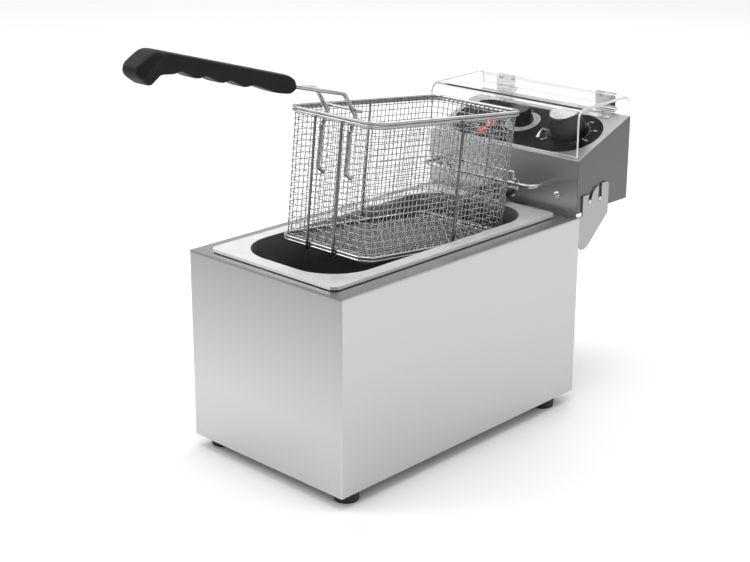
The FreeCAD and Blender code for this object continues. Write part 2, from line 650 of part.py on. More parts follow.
def build_knob(name, x, up, radius, top_radius, height, flutes):
    """A fluted control knob on the sloped top, hollow underneath to clear its shaft's boss."""
    base = 1.2
    skirt = Part.makeCylinder(radius, 4.5)
    barrel = Part.makeCone(radius - 1.2, top_radius, height - 4.5, Vector(0, 0, 4.5))
    knob = skirt.fuse(barrel)
    for index in range(flutes):
        angle = 2 * math.pi * index / flutes
        foot = Vector((radius - 0.6) * math.cos(angle), (radius - 0.6) * math.sin(angle), 4.5)
        top = Vector((top_radius + 0.7) * math.cos(angle), (top_radius + 0.7) * math.sin(angle), height + 1)
        knob = knob.cut(Part.makeCylinder(1.1, (top - foot).Length, foot, top - foot))
    knob = knob.cut(Part.makeCylinder(dim("shaft_radius") + 0.05, 13.4, Vector(0, 0, -1)))
    knob.Placement = Placement(on_slope(x, up, base), SLOPE_TURN)
    feature(f"{name}_knob", knob)


def build_head_inside():
    """Terminal block, cut-out, reset button, gland and wiring inside the head."""
    rear, floor = dim("head_rear") - dim("gauge"), dim("head_bottom") + dim("gauge")
    block = Part.makeBox(46, 16, 14, Vector(-78, dim("head_front") + 41, floor + 0.2))
    for index in range(4):
        screw_hole = Vector(-72 + index * 11.3, dim("head_front") + 49, floor + 8)
        block = block.cut(Part.makeCylinder(2.2, 8, screw_hole))
    feature("terminal_block", block)
    limiter = Part.makeBox(30, 24, 20, Vector(RESET_X - 15, rear - 32, REAR_ROW - 10))
    feature("high_limit_cutout", limiter)
    nut = Part.makeCylinder(RESET_HOLE + 3, 2.5, Vector(RESET_X, rear + 1.05, REAR_ROW), Vector(0, 1, 0))
    nut = nut.cut(Part.makeCylinder(RESET_HOLE - 0.2, 12, Vector(RESET_X, rear - 5, REAR_ROW),
                                    Vector(0, 1, 0)))
    feature("reset_collar", nut)
    button = Part.makeCylinder(RESET_HOLE - 0.7, 8, Vector(RESET_X, rear - 4, REAR_ROW), Vector(0, 1, 0))
    feature("reset_button", button)
    gland = Part.makeCylinder(GLAND_HOLE - 0.1, 14, Vector(GLAND_X, rear - 8, REAR_ROW), Vector(0, 1, 0))
    flange = Part.makeCylinder(GLAND_HOLE + 3, 3, Vector(GLAND_X, rear + 1.05, REAR_ROW), Vector(0, 1, 0))
    locknut = Part.makeCylinder(GLAND_HOLE + 3, 4, Vector(GLAND_X, rear - 4.1, REAR_ROW), Vector(0, 1, 0))
    bore = Part.makeCylinder(3.8, 40, Vector(GLAND_X, rear - 20, REAR_ROW), Vector(0, 1, 0))
    feature("cable_gland", gland.fuse([flange, locknut]).cut(bore))
    front = dim("head_front")
    leads = [([(-66, front + 49, floor + 16), (-66, front + 49, 236), (-30, front + 55, 240),
               (-6, front + 73, 240)], 5),
             ([(-54.7, front + 49, floor + 16), (-54.7, front + 49, 230), (30, front + 67, 232),
               (45.5, front + 67, 226)], 6),
             ([(-43, front + 49, floor + 16), (-43, front + 45, 222), (-16, front + 26, 217),
               (-14, front + 21, 210)], 4)]
    feature("internal_wiring", Part.makeCompound(
        [rod(bent_path(points, bend), 1.2) for points, bend in leads]))


def build_hanger():
    half, bar_y, z = dim("hanger_half"), dim("hanger_y"), dim("hanger_height")
    tail = dim("head_front") + 9
    path = bent_path([(-half, tail, z), (-half, bar_y, z), (half, bar_y, z), (half, tail, z)], 7)
    feature("basket_hanger", rod(path, dim("hanger_radius")))
    nuts = []
    for x in (-half, half):
        nut = Part.makeCylinder(4.5, 3.5, Vector(x, dim("head_front") + dim("gauge") + 0.1, z),
                                Vector(0, 1, 0))
        nuts.append(nut.cut(Part.makeCylinder(dim("hanger_radius") + 0.05, 6,
                                              Vector(x, dim("head_front"), z), Vector(0, 1, 0))))
    feature("hanger_nuts", Part.makeCompound(nuts))
    screws = []
    for x in (-half, half):
        dome = Part.makeSphere(4.4, Vector(x, dim("head_front") + 1.9, FACE_SCREW_HEIGHT))
        front = Part.makeBox(12, 6, 12, Vector(x - 6, dim("head_front") - 6, FACE_SCREW_HEIGHT - 6))
        head = dome.common(front)
        shank = Part.makeCylinder(2, 8, Vector(x, dim("head_front") - 0.5, FACE_SCREW_HEIGHT),
                                  Vector(0, 1, 0))
        screw = head.fuse(shank)
        for size in ((4.4, 1.2), (1.2, 4.4)):
            slot = Part.makeBox(size[0], 1.4, size[1],
                                Vector(x - size[0] / 2, dim("head_front") - 2.9,
                                       FACE_SCREW_HEIGHT - size[1] / 2))
            screw = screw.cut(slot)
        screws.append(screw)
    feature("face_screws", Part.makeCompound(screws))


def build_element():
    """One tube: down from the head, out to the left, four runs joined by three U-turns, and back up."""
    half, low, up = dim("element_half"), dim("element_height"), dim("element_exit")
    exit_half = dim("element_exit_half")
    leg, front, bend = dim("element_leg_y"), dim("element_front"), dim("element_bend")
    middle = half - 2 * bend
    back = leg - 26
    inlet = dim("head_front") + 14
    points = [(-exit_half, inlet, up), (-exit_half, leg, up), (-exit_half, leg, low),
              (-half, leg, low), (-half, front, low),
              (-middle, front, low), (-middle, back, low), (middle, back, low), (middle, front, low),
              (half, front, low), (half, leg, low), (exit_half, leg, low), (exit_half, leg, up),
              (exit_half, inlet, up)]
    turn = bend - 0.01
    rear_turn = middle - 0.01
    elbow = (half - exit_half) / 2 - 0.01
    bends = [0, 13, elbow, elbow, turn, turn, rear_turn, rear_turn, turn, turn, elbow, elbow, 13, 0]
    feature("heating_element", rod(bent_path(points, bends), dim("element_radius")))
    flanges = []
    for x in (-exit_half, exit_half):
        flange = Part.makeCylinder(dim("element_flange"), 2, Vector(x, dim("head_front") - 2.05, up),
                                   Vector(0, 1, 0))
        flanges.append(flange.cut(Part.makeCylinder(dim("element_radius"), 9,
                                                    Vector(x, dim("head_front") - 6, up), Vector(0, 1, 0))))
    feature("element_flanges", Part.makeCompound(flanges))
    nuts = []
    for x in (-exit_half, exit_half):
        nut = Part.makeCylinder(6.5, 4, Vector(x, dim("head_front") + 1.1, up), Vector(0, 1, 0))
        nuts.append(nut.cut(Part.makeCylinder(dim("element_radius"), 9,
                                              Vector(x, dim("head_front"), up), Vector(0, 1, 0))))
    feature("element_nuts", Part.makeCompound(nuts))
    strap = Part.makeBox(2 * half + 12, 9, 1.2, Vector(-half - 6, 60, low + dim("element_radius")))
    feature("element_strap", strap)
    for name, x in zip(("thermostat_probe", "limiter_probe"), PROBE_XS):
        height = low + dim("element_radius") + 1.2 + 3
        bulb = Part.makeCylinder(3, 80, Vector(x * 2, 20, height), Vector(0, 1, 0))
        path = bent_path([(x * 2, 99, height), (x, 146, height), (x, 146, PROBE_EXIT),
                          (x, dim("head_front") + 12, PROBE_EXIT)], 8)
        feature(name, bulb.fuse(rod(path, 0.9)))


# ---------------------------------------------------------------- splash cover and its hinges
def build_cover():
    cover = new_body("splash_cover")
    gauge = "dims.cover_gauge"
    lean = "(dims.cover_front + 4.5)"
    outside = [("dims.cover_front", "dims.cover_front_bottom"), (lean, "dims.cover_front_top"),
               ("dims.cover_rear - 0.5", "dims.cover_top"), ("dims.cover_rear", "dims.cover_rear_bottom"),
               (f"dims.cover_rear - {gauge}", "dims.cover_rear_bottom"),
               (f"dims.cover_rear - 0.5 - {gauge}", f"dims.cover_top - {gauge}"),
               (f"{lean} + {gauge}", f"dims.cover_front_top - {gauge}"),
               (f"dims.cover_front + {gauge}", "dims.cover_front_bottom")]
    pad(cover, outline(cover, "cover_profile", "YZ_Plane", outside), "dims.cover_width", midplane=True)
    top = dim("cover_front_top") - dim("cover_gauge") - 1.5
    outer_line = dim("cover_front_top") - 1

    def crossways(span):
        return span.XLength > 100 and span.ZMin > top

    round_edges(cover, "dims.cover_round", lambda edge, span: crossways(span) and (
        span.ZMin > outer_line and (span.YMin < dim("cover_front") + 6 or span.YMin > dim("cover_rear") - 1)))
    round_edges(cover, "dims.cover_round - dims.cover_gauge", lambda edge, span: crossways(span)
                and span.ZMax < outer_line + 1 and span.YMin > dim("cover_front") + 6
                and (span.YMin < dim("cover_front") + 9 or span.YMin > dim("cover_rear") - 5))

    y, z, radius = dim("hinge_y"), dim("hinge_height"), dim("hinge_radius")
    pin, width, reach = dim("hinge_pin_radius"), dim("hinge_width"), dim("hinge_x")
    bases, leaves, pins, rivets = [], [], [], []
    third = width / 3
    for side in (-1, 1):
        left = side * reach - width / 2
        bore = Part.makeCylinder(pin + 0.05, width + 4, Vector(left - 2, y, z), Vector(1, 0, 0))
        # base leaf: lies on the slope, with the two outer knuckles
        slab = Part.makeBox(width, 15.8, 0.8)
        up = (dim("head_rear") - dim("head_front")) / math.cos(SLOPE) - 13.2
        slab.Placement = Placement(on_slope(left, up, 0.02), SLOPE_TURN)
        knuckles = [Part.makeCylinder(radius, third - 0.15, Vector(left, y, z), Vector(1, 0, 0)),
                    Part.makeCylinder(radius, third - 0.15, Vector(left + 2 * third + 0.15, y, z),
                                      Vector(1, 0, 0))]
        relief = Part.makeCylinder(radius + 0.35, third + 0.3, Vector(left + third - 0.15, y, z),
                                   Vector(1, 0, 0))
        bases.append(slab.cut(relief).fuse(knuckles).cut(bore))
        # cover leaf: stands behind the cover's rear leg, with the middle knuckle
        plate = Part.makeBox(width, 0.9, 14.5, Vector(left, dim("cover_rear") + 0.05, z + radius + 0.35))
        web = Part.makeBox(third - 0.3, 0.9, 4, Vector(left + third + 0.15, dim("cover_rear") + 0.05, z))
        knuckle = Part.makeCylinder(radius, third - 0.3, Vector(left + third + 0.15, y, z), Vector(1, 0, 0))
        leaves.append(plate.fuse([web, knuckle]).cut(bore))
        pins.append(Part.makeCylinder(pin, width, Vector(left, y, z), Vector(1, 0, 0)))
        for offset in (-8, 8):
            x = side * reach + offset
            start = Vector(x, dim("cover_rear") + 0.95, dim("hinge_height") + 11.5)
            dome = Part.makeCylinder(2.2, 0.9, start, Vector(0, 1, 0))
            shank = Part.makeCylinder(1.2, 5.6, start - Vector(0, 5.6, 0), Vector(0, 1, 0))
            tail = Part.makeCylinder(2.2, 0.8, start - Vector(0, 5.6, 0), Vector(0, 1, 0))
            rivets.append(dome.fuse([shank, tail]))
    feature("cover_hinge_bases", Part.makeCompound(bases))
    leaves = [leaf.cut(Part.makeCompound(rivets)) for leaf in leaves]
    feature("cover_hinge_leaves", Part.makeCompound(leaves))
    feature("cover_hinge_pins", Part.makeCompound(pins))
    feature("cover_rivets", Part.makeCompound(rivets))
    holes = doc.addObject("Part::Feature", "rivet_holes")
    holes.Shape = Part.makeCompound([rivet.copy() for rivet in rivets])
    NODES.remove(cover)
    cover.Label = "splash_cover_blank"
    keep(cut("splash_cover_drilled", cover, holes), "splash_cover")


# ---------------------------------------------------------------- basket
BASKET = Placement(Vector(0, dim("basket_y"), dim("basket_height")),
                   Rotation(Vector(1, 0, 0), -dim("basket_pitch")))


def to_basket(x, y, z):
    """A point of the fryer's frame, in the basket's own frame."""
    point = BASKET.inverse().multVec(Vector(x, y, z))
    return (point.x, point.y, point.z)


def rear_inset(depth):
    """How far the raked rear face has come in at a depth below the rim."""
    return dim("basket_rear_draft") * depth / dim("basket_depth")


def loop_points(depth, inset=0.0):
    half = dim("basket_width") / 2 - inset
    rear = dim("basket_length") - rear_inset(depth) - inset
    return [(-half, inset, -depth), (half, inset, -depth), (half, rear, -depth), (-half, rear, -depth)]


RAIL_RADIUS = 1.2      # of the upright and lengthwise stiffening wires


def build_basket_frame():
    wire, corner = dim("frame_wire"), dim("basket_corner")
    depth = dim("basket_depth")
    pitch = 2 * wire + 0.1
    for name, level in (("basket_rim_wire", 0), ("basket_rim_lower_wire", pitch),
                        ("basket_floor_upper_wire", depth - pitch), ("basket_floor_wire", depth)):
        feature(name, rod(bent_path(loop_points(level), corner, closed=True), wire), BASKET)

    rail = RAIL_RADIUS
    clear = wire + rail + 0.1
    top, bottom = -pitch, -depth - clear
    cradles = []
    for x in (-dim("handle_half") + 1, dim("handle_half") - 1):
        cradles.append(rod(bent_path([(x, -clear, top), (x, -clear, bottom),
                                      (x, dim("basket_length") - rear_inset(depth) + clear, bottom),
                                      (x, dim("basket_length") + clear, top)], clear), rail))
    feature("basket_long_wires", Part.makeCompound(cradles), BASKET)
    half = dim("basket_width") / 2 + clear
    cross_y = dim("basket_length") * 0.55
    under = bottom - 2 * rail - 0.1
    cross = rod(bent_path([(-half, cross_y, top), (-half, cross_y, under), (half, cross_y, under),
                           (half, cross_y, top)], clear), rail)
    feature("basket_cross_wire", cross, BASKET)


def loft_wall(inset):
    """The solid between the rim outline and the floor outline, set in by an amount."""
    rings = []
    for depth in (0.0, dim("basket_depth")):
        rings.append(bent_path(loop_points(depth, inset), dim("basket_corner") - inset, closed=True))
    return Part.makeLoft(rings, True)


def build_basket_mesh():
    """Woven wire as thin sheets: one wrapped wall and one floor inside the frame wires."""
    gap = dim("frame_wire") + 0.1
    thick = dim("mesh_thick")
    wall = loft_wall(gap).cut(loft_wall(gap + thick))
    feature("basket_mesh_wall", wall, BASKET)
    inset = gap + thick + 0.1
    outline_points = loop_points(dim("basket_depth"), inset)
    base = Part.Face(bent_path(outline_points, dim("basket_corner") - inset, closed=True))
    feature("basket_mesh_floor", base.extrude(Vector(0, 0, thick)), BASKET)


def build_basket_hook():
    """Two double-wire hooks on a cross wire of the rear face; they drop over the hanger bar."""
    wire, half_spread, stay_half = 1.4, 7.5, 52
    standoff = dim("frame_wire") + 2 * RAIL_RADIUS + wire + 0.2
    bar = to_basket(0, dim("hanger_y"), dim("hanger_height"))
    reach = dim("hanger_radius") + wire + 0.5
    stay_height, tip = bar[2] + 12, bar[2] - 6

    def face_at(height):
        """Where the hook wires run, just behind the raked rear face, at a height in the basket's frame."""
        return dim("basket_length") - rear_inset(-height) + standoff

    pieces = [straight_rod((-stay_half, face_at(stay_height), stay_height),
                           (stay_half, face_at(stay_height), stay_height), wire)]
    for middle in (-dim("hook_x"), dim("hook_x")):
        legs = (middle - half_spread, middle + half_spread)
        for x in legs:
            path = bent_path([(x, face_at(stay_height), stay_height),
                              (x, face_at(bar[2] + 3.5), bar[2] + 3.5), (x, bar[1] - 1, bar[2] + reach),
                              (x, bar[1] + reach, bar[2] + reach), (x, bar[1] + reach, tip)],
                             [0, 1.8, 2.5, 2.6, 0])
            pieces.append(rod(path, wire))
            pieces.append(Part.makeSphere(wire, Vector(x, bar[1] + reach, tip)))
        pieces.append(straight_rod((legs[0], bar[1] + reach, tip), (legs[1], bar[1] + reach, tip), wire))
    feature("basket_hook", pieces[0].fuse(pieces[1:]), BASKET)


def build_handle():
    """Two wires from the grip, over the front rim and down inside the front wall to small hooks."""
    half, wire = dim("handle_half"), dim("handle_wire")
    inner = dim("frame_wire") + dim("mesh_thick") + wire + 0.6
    wires = []
    for side in (-1, 1):
        x = side * half
        near = x * GRIP_WIRE_SPREAD
        path = bent_path([(near, -74, 32.6), (near, -48, 28), (x, -3.4, 22), (x, 14, 0),
                          (x, inner + 3, -14), (x, inner + 1, -52), (x, inner + 9, -57)],
                         [0, 18, 7, 6, 5, 3.2, 0])
        wires.append(rod(path, wire))
    feature("handle_wires", Part.makeCompound(wires), BASKET)
    outer = half + wire + 1.6
    brace = bent_path([(-outer, 9, 6.5), (-outer, 20.5, 4.7), (outer, 20.5, 4.7), (outer, 9, 6.5)], 6)
    feature("handle_brace", rod(brace, 1.5), BASKET)
    feature("handle_grip", grip_shape(), BASKET.multiply(
        Placement(Vector(0, dim("grip_y"), dim("grip_height")),
                  Rotation(Vector(1, 0, 0), -dim("grip_tilt")))))


GRIP_WIRE_SPREAD = 0.39     # the wires run closer together inside the grip


def corner_arc(before, corner, after, radius):
    """Tangent arc that rounds a corner of an outline."""
    back, onward = (before - corner).normalize(), (after - corner).normalize()
    half_angle = back.getAngle(onward) / 2
    reach = radius / math.tan(half_angle)
    center = corner + (back + onward).normalize() * (radius / math.sin(half_angle))
    middle = center + (corner - center).normalize() * radius
    return Part.Arc(corner + back * reach, middle, corner + onward * reach)


def grip_shape():
    """Moulded grip along -Y: flat top, four finger hollows below, and a flared, hooked end."""
    half, pitch = dim("grip_half_depth"), dim("finger_pitch")

    def at(along, above):
        return Vector(0, -along, above)

    low_end, tip, shoulder, heel = at(-7, -half + 1), at(170, -12.5), at(150, half), at(147, -21.7)
    arcs = [corner_arc(at(-9, half - 3), at(0, half), shoulder, 8), corner_arc(at(0, half), shoulder, tip, 14),
            corner_arc(shoulder, tip, heel, dim("grip_tip_radius")), corner_arc(tip, heel, at(139, -10.6), 4)]
    edges = []
    here = low_end
    for point in (at(-13, -2), at(-9, half - 3)):
        edges.append(Part.LineSegment(here, point).toShape())
        here = point
    for arc in arcs:
        edges.append(Part.LineSegment(here, arc.StartPoint).toShape())
        edges.append(arc.toShape())
        here = arc.EndPoint
    edges.append(Part.LineSegment(here, at(139, -10.6)).toShape())
    here = at(139, -10.6)
    for index in range(4):
        low = at(127 - pitch * index, -half)
        step = at(120 - pitch * index, -half + 2.2)
        edges += [Part.LineSegment(here, low).toShape(), Part.LineSegment(low, step).toShape()]
        here = step
    edges.append(Part.LineSegment(here, at(9, -half)).toShape())
    edges.append(Part.LineSegment(at(9, -half), low_end).toShape())
    slab = Part.Face(Part.Wire(edges)).extrude(Vector(dim("grip_width"), 0, 0))
    slab.translate(Vector(-dim("grip_width") / 2, 0, 0))
    turn = Rotation(Vector(1, 0, 0), dim("grip_tilt"))
    for side in (-1, 1):
        x = side * dim("handle_half") * GRIP_WIRE_SPREAD
        start = turn.multVec(Vector(x, -48 - dim("grip_y"), 28 - dim("grip_height")))
        end = turn.multVec(Vector(x, -74 - dim("grip_y"), 32.6 - dim("grip_height")))
        run = end - start
        slab = slab.cut(Part.makeCylinder(dim("handle_wire"), run.Length, start, run))
    return slab


# ---------------------------------------------------------------- assemble, check and write
build_housing()
build_feet()
build_tank()
build_hook_plates()
build_head_shell()
build_pins()
build_controls()
build_head_inside()
build_hanger()
build_element()
build_cover()
build_basket_frame()
build_basket_mesh()
build_basket_hook()
build_handle()
doc.recompute()

for item in doc.Objects:
    if any(state in ("Invalid", "Error") for state in item.State):
        raise RuntimeError(f"{item.Name} failed: {item.State}")
for node in NODES:
    if node.Shape.isNull() or not node.Shape.isValid():
        raise RuntimeError(f"{node.Label} has no valid shape")
for node in NODES:
    node.Shape.exportStep(f"parts/{node.Label}.step")
    print(f"{node.Label}: {len(node.Shape.Solids)} solid, {node.Shape.Volume / 1000:.2f} cm3")
print(f"{len(NODES)} nodes")
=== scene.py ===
import json
import math
import random

import bmesh
import bpy
import numpy as np
from mathutils import Matrix, Vector


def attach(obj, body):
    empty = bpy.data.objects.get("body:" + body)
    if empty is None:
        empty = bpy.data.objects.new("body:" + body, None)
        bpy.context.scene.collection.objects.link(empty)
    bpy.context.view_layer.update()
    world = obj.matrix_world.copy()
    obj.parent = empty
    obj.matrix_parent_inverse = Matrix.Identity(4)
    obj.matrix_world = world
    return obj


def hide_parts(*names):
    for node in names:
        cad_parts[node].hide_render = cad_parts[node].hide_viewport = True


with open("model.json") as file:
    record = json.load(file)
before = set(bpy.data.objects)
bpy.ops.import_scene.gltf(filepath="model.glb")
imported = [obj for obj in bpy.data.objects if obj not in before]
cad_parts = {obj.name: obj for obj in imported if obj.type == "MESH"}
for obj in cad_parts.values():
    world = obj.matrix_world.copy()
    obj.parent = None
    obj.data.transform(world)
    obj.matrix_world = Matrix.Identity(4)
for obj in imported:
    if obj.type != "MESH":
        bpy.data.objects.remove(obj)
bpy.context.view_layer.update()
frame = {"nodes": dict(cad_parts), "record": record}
MM = 0.001


# ---------------------------------------------------------------- camera, light and floor
IMAGE_WIDTH = 750
FOCAL_PIXELS = 1485.8
SENSOR = 36.0
AZIMUTH, ELEVATION, ROLL = math.radians(43.52), math.radians(16.835), math.radians(0.175)
SHIFT_UP = -0.08
STAND_POINT = (0.9361, -0.98307, 0.6277)

FLOOR_REACH, FLOOR_TONE = 14.0, 0.8
SKY_LOW, SKY_HIGH, SKY_SHADED = 0.55, 1.35, 0.12
SHADED_SIDE = (0.66, -0.68, 0.3)
LIGHTS = (("key", (-1.5, -1.5, 1.9), (-0.1, -0.1, 0.1), 1.2, 20),
          ("rim", (-0.7, 1.9, 1.5), (0, 0.1, 0.25), 0.9, 8),
          ("top", (0.2, -0.1, 2.2), (0, 0, 0.2), 1.0, 14))


def make_camera():
    """Stands in front of the fryer's right-hand corner, a little above the splash cover."""
    data = bpy.data.cameras.new("view")
    data.sensor_width = SENSOR
    data.lens = FOCAL_PIXELS / IMAGE_WIDTH * SENSOR
    data.shift_y = SHIFT_UP
    data.clip_start = 0.05
    camera = bpy.data.objects.new("view", data)
    camera.location = STAND_POINT
    turn = Matrix.Rotation(AZIMUTH, 3, "Z") @ Matrix.Rotation(math.pi / 2 - ELEVATION, 3, "X")
    camera.rotation_euler = (turn @ Matrix.Rotation(ROLL, 3, "Z")).to_euler()
    bpy.context.scene.collection.objects.link(camera)
    bpy.context.scene.camera = camera


def area_light(name, place, target, size, power):
    data = bpy.data.lights.new(name, "AREA")
    data.energy = power
    data.size = size
    light = bpy.data.objects.new(name, data)
    light.location = place
    light.rotation_euler = (Vector(target) - Vector(place)).to_track_quat("-Z", "Y").to_euler()
    bpy.context.scene.collection.objects.link(light)


def make_world():
    """A studio sky: bright overhead, dimmer at the horizon, and darkest low on the camera's side."""
    world = bpy.data.worlds.new("studio")
    bpy.context.scene.world = world
    world.use_nodes = True
    tree = world.node_tree
    background = tree.nodes["Background"]
    background.inputs["Color"].default_value = (0.97, 0.985, 1.0, 1)

    def node(kind, operation=None, inputs=()):
        made = tree.nodes.new(kind)
        if operation:
            made.operation = operation
        for socket, value in inputs:
            if isinstance(value, bpy.types.NodeSocket):
                tree.links.new(value, made.inputs[socket])
            else:
                made.inputs[socket].default_value = value
        return made

    direction = node("ShaderNodeTexCoord").outputs["Generated"]
    height = node("ShaderNodeSeparateXYZ", inputs=[(0, direction)]).outputs["Z"]
    rise = node("ShaderNodeMapRange", inputs=[("Value", height), ("From Min", 0.02), ("From Max", 0.75),
                                              ("To Min", SKY_LOW), ("To Max", SKY_HIGH)])
    facing = node("ShaderNodeVectorMath", "DOT_PRODUCT", [(0, direction), (1, SHADED_SIDE)])
    shade = node("ShaderNodeMapRange", inputs=[("Value", facing.outputs["Value"]), ("From Min", 0.72),
                                               ("From Max", 0.95), ("To Min", 1.0), ("To Max", SKY_SHADED)])
    total = node("ShaderNodeMath", "MULTIPLY",
                 [(0, rise.outputs["Result"]), (1, shade.outputs["Result"])])
    tree.links.new(total.outputs["Value"], background.inputs["Strength"])


def make_stage():
    """A wide pale floor, the sky and three soft lights."""
    mesh = bpy.data.meshes.new("floor")
    corners = [(x * FLOOR_REACH, y * FLOOR_REACH, 0) for x, y in ((-1, -1), (1, -1), (1, 1), (-1, 1))]
    mesh.from_pydata(corners, [], [(0, 1, 2, 3)])
    floor = bpy.data.objects.new("floor", mesh)
    bpy.context.scene.collection.objects.link(floor)
    pale = new_material("pale_floor", (FLOOR_TONE,) * 3, roughness=0.9)
    surface = Surface(pale)
    mottle = surface.noise(4.0, detail=5.0)
    surface.set("Base Color", surface.colors(mottle, [
        (0.3, (FLOOR_TONE * 0.99,) * 3), (0.7, (FLOOR_TONE,) * 3)]))
    surface.set("Roughness", surface.spread(mottle, 0.85, 0.95))
    mesh.materials.append(pale)
    make_world()
    for light in LIGHTS:
        area_light(*light)


# ---------------------------------------------------------------- materials
def new_material(name, color, roughness=0.5, metallic=0.0, **sockets):
    """A Principled material; sockets are the shader's own inputs, with _ for a space."""
    material = bpy.data.materials.new(name)
    material.use_nodes = True
    shader = material.node_tree.nodes["Principled BSDF"]
    shader.inputs["Base Color"].default_value = (*color, 1)
    shader.inputs["Roughness"].default_value = roughness
    shader.inputs["Metallic"].default_value = metallic
    for socket, number in sockets.items():
        shader.inputs[socket.replace("_", " ")].default_value = number
    return material


class Surface:
    """Short calls for wiring a material's texture nodes."""

    def __init__(self, material):
        self.tree = material.node_tree
        self.shader = self.tree.nodes["Principled BSDF"]

    def node(self, kind, **inputs):
        made = self.tree.nodes.new("ShaderNode" + kind)
        for name, value in inputs.items():
            target = made.inputs[name.replace("_", " ")]
            if isinstance(value, bpy.types.NodeSocket):
                self.tree.links.new(value, target)
            else:
                target.default_value = value
        return made

    def place(self, scale=(1, 1, 1), turn=(0, 0, 0)):
        where = self.tree.nodes.new("ShaderNodeTexCoord").outputs["Object"]
        return self.node("Mapping", Vector=where, Scale=scale, Rotation=turn).outputs["Vector"]

    def noise(self, scale, stretch=(1, 1, 1), detail=3.0, rough=0.5, turn=(0, 0, 0)):
        return self.node("TexNoise", Vector=self.place(stretch, turn), Scale=scale, Detail=detail,
                         Roughness=rough).outputs["Fac"]

    def spread(self, factor, low, high, from_low=0.25, from_high=0.75):
        return self.node("MapRange", Value=factor, From_Min=from_low, From_Max=from_high, To_Min=low,
                         To_Max=high).outputs["Result"]

    def colors(self, factor, stops):
        ramp = self.tree.nodes.new("ShaderNodeValToRGB")
        self.tree.links.new(factor, ramp.inputs["Fac"])
        while len(ramp.color_ramp.elements) < len(stops):
            ramp.color_ramp.elements.new(0.5)
        for element, (position, color) in zip(ramp.color_ramp.elements, stops):
            element.position = position
            element.color = (*color, 1)
        return ramp.outputs["Color"]

    def bump(self, height, strength, distance):
        return self.node("Bump", Height=height, Strength=strength, Distance=distance).outputs["Normal"]

    def math(self, operation, *values):
        made = self.tree.nodes.new("ShaderNodeMath")
        made.operation = operation
        for index, value in enumerate(values):
            self.tree.links.new(value, made.inputs[index])
        return made.outputs["Value"]

    def scale_color(self, factor):
        """Multiplies the colour already wired to the shader."""
        colored = self.shader.inputs["Base Color"].links[0].from_socket
        made = self.tree.nodes.new("ShaderNodeVectorMath")
        made.operation = "SCALE"
        self.tree.links.new(colored, made.inputs[0])
        self.tree.links.new(factor, made.inputs["Scale"])
        self.set("Base Color", made.outputs["Vector"])

    def set(self, socket, value):
        self.tree.links.new(value, self.shader.inputs[socket])


def brushed_steel(name, tone, roughness, grain=(6, 6, 900), depth=0.02, patch=0.05, streaks=0.04):
    """Stainless sheet: fine scratches packed along grain's largest axis, with faint cloudy patches."""
    material = new_material(name, (tone, tone, tone * 0.985), roughness, 1.0)
    surface = Surface(material)
    streak = surface.noise(1.0, grain, 4.0, 0.6)
    cloud = surface.noise(7.0, (1, 1, 1), 2.0)
    surface.set("Base Color", surface.colors(streak, [
        (0.25, (tone * (1 - streaks),) * 3), (0.75, (tone * (1 + streaks),) * 3)]))
    surface.set("Roughness", surface.math("ADD", surface.spread(streak, roughness - patch, roughness + patch),
                                          surface.spread(cloud, -patch / 2, patch / 2)))
    surface.set("Normal", surface.bump(streak, depth, 0.0004))
    return material


def paint_shade_along(material, axis, low, high, darkest, mirrored=False):
    """Paints shade: multiplies a metal's colour down along one axis of the object's own frame, in metres."""
    surface = Surface(material)
    place = surface.node("SeparateXYZ", Vector=surface.place()).outputs[axis]
    if mirrored:
        place = surface.math("ABSOLUTE", place)
    surface.scale_color(surface.spread(place, 1.0, darkest, low, high))


def paint_front_shade(material, front, low, high, darkest):
    """Paints shade on the front panel, darker from height low to height high; front is the panel's y. All in
    metres.
    """
    surface = Surface(material)
    place = surface.node("SeparateXYZ", Vector=surface.place())
    on_front = surface.spread(place.outputs["Y"], 0.0, 1.0, front + 0.002, front + 0.0005)
    loss = surface.spread(place.outputs["Z"], 0.0, 1 - darkest, low, high)
    surface.scale_color(surface.spread(surface.math("MULTIPLY", on_front, loss), 1.0, 0.0, 0.0, 1.0))


def lamp_lens(name, color, glow):
    """Tinted lens with fine moulded ribs and a slight glow."""
    material = new_material(name, color, 0.15, Transmission_Weight=0.3, IOR=1.49, Emission_Strength=glow)
    surface = Surface(material)
    tint = surface.colors(surface.noise(350.0), [(0.3, tuple(c * 0.8 for c in color)), (0.7, color)])
    surface.set("Base Color", tint)
    surface.set("Emission Color", tint)
    surface.set("Roughness", surface.spread(surface.noise(120.0), 0.1, 0.25))
    ribs = surface.node("TexWave", Vector=surface.place(), Scale=260.0).outputs["Fac"]
    surface.set("Normal", surface.bump(ribs, 0.25, 0.0003))
    return material


def spun_metal(name, tone):
    """Turned aluminium: highlights stretched round the disc, with fine wear."""
    material = bright_wire(name, tone)
    surface = Surface(material)
    surface.shader.inputs["Anisotropic"].default_value = 0.75
    surface.set("Roughness", surface.spread(surface.noise(300.0), 0.22, 0.36))
    tangent = surface.tree.nodes.new("ShaderNodeTangent")
    tangent.direction_type, tangent.axis = "RADIAL", "Z"
    surface.set("Tangent", tangent.outputs["Tangent"])
    return material


def worn_sheet(name, color, roughness, transmission, index):
    """Clear moulded sheet with faint hazy wear."""
    material = new_material(name, color, roughness, Transmission_Weight=transmission, IOR=index)
    surface = Surface(material)
    haze = surface.noise(35.0, detail=4.0)
    surface.set("Roughness", surface.spread(haze, roughness, roughness + 0.02))
    surface.set("Base Color", surface.colors(haze, [(0.3, color), (0.8, tuple(c * 0.985 for c in color))]))
    return material


